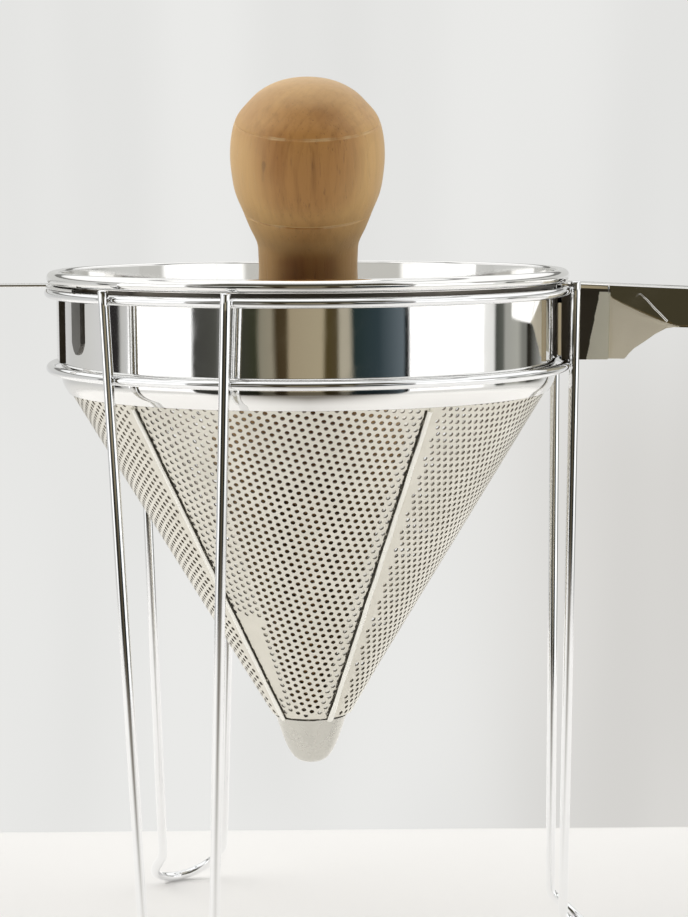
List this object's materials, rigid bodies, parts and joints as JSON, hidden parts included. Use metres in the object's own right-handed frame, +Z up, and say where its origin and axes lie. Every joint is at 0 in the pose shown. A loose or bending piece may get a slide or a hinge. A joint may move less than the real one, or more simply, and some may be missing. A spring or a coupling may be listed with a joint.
{
  "type": "conical strainer with stand and pestle",
  "caption": "Cone sieve with a plain band, long handle and helper hook, hung in a legged chrome wire stand, with a turned wooden pestle leaning in the cone.",
  "frame": {"origin": "on the table plane, on the axis of the stand's rings", "axes": "+Z up, +X along the long handle, -X towards the helper hook"},
  "size_m": [0.392, 0.2011, 0.3325],
  "materials": {
    "stand_wire": "bright chrome plating",
    "polished_steel": "mirror-polished stainless steel",
    "perforated_steel": "satin perforated stainless steel",
    "seam_steel": "satin stainless steel",
    "pestle_wood": "turned hardwood, dry satin"
  },
  "bodies": {
    "stand": {"upper_ring": "stand_wire", "lower_ring": "stand_wire", "leg_front_left": "stand_wire", "leg_rear_left": "stand_wire", "leg_right": "stand_wire"},
    "strainer": {"rim_collar": "polished_steel", "cone_panel_front": "perforated_steel", "cone_panel_right": "perforated_steel", "cone_panel_rear_right": "perforated_steel", "cone_panel_rear_left": "perforated_steel", "cone_panel_left": "perforated_steel", "seam_rib_front_left": "seam_steel", "seam_rib_front_right": "seam_steel", "seam_rib_right": "seam_steel", "seam_rib_rear": "seam_steel", "seam_rib_left": "seam_steel", "tip_cap": "seam_steel", "handle": "polished_steel", "handle_bracket": "polished_steel", "rest_hook": "polished_steel"},
    "pestle": {"pestle": "pestle_wood"}
  },
  "joints": [
    {"name": "strainer_lift", "type": "slide", "parent": "stand", "child": "strainer", "axis": [0, 0, 1], "range_m": [0, 0.2]},
    {"name": "pestle_roll", "type": "hinge", "parent": "strainer", "child": "pestle", "pos_m": [0, 0, 0.2], "axis": [0, 0, 1], "continuous": true}
  ]
}
